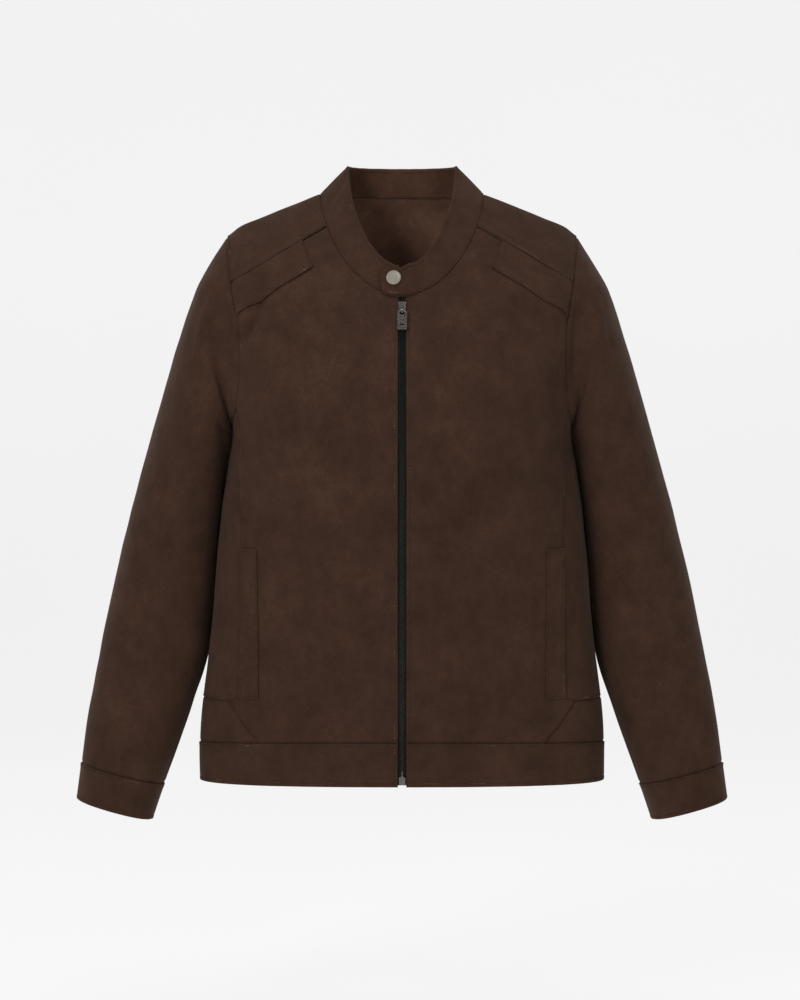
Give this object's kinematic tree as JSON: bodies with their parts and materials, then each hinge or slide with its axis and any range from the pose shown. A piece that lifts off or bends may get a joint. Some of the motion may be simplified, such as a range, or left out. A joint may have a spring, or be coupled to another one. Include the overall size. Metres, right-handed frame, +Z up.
{
  "type": "suede jacket",
  "caption": "Hollow zip-front suede jacket with a band collar, snap tab, shoulder yokes and patches, welt pockets, hem band and cuffs, held at the neck; its zip pull swings.",
  "frame": {"origin": "middle of the neck, level with the points where the collar meets the shoulders", "axes": "+Z up, +X to the wearer's left, the zipped front faces -Y"},
  "size_m": [0.7344, 0.2485, 0.741],
  "materials": {
    "suede": "dark brown suede with a short soft nap, mottled where it is brushed, stitched in brown thread",
    "zip_tape": "near-black woven polyester tape",
    "zip_teeth": "dark oxidised metal teeth with worn bright edges",
    "steel": "satin nickel plate, slightly worn"
  },
  "bodies": {
    "jacket": {"front_left": "suede", "side_left": "suede", "hip_left": "suede", "yoke_left": "suede", "shoulder_patch_left": "suede", "pocket_welt_left": "suede", "sleeve_top_left": "suede", "sleeve_under_left": "suede", "cuff_left": "suede", "zip_tape_left": "zip_tape", "front_right": "suede", "side_right": "suede", "hip_right": "suede", "yoke_right": "suede", "shoulder_patch_right": "suede", "pocket_welt_right": "suede", "sleeve_top_right": "suede", "sleeve_under_right": "suede", "cuff_right": "suede", "zip_tape_right": "zip_tape", "back": "suede", "hem_band": "suede", "collar": "suede", "zip_chain": "zip_teeth", "zip_slider": "steel", "zip_stop": "steel", "snap_cap": "steel"},
    "zip_pull": {"zip_pull": "steel"}
  },
  "joints": [
    {"name": "zip_pull_swing", "type": "hinge", "parent": "jacket", "child": "zip_pull", "pos_m": [0, -0.10899, -0.14064], "axis": [-1, 0, 0], "range_deg": [0, 150]}
  ]
}
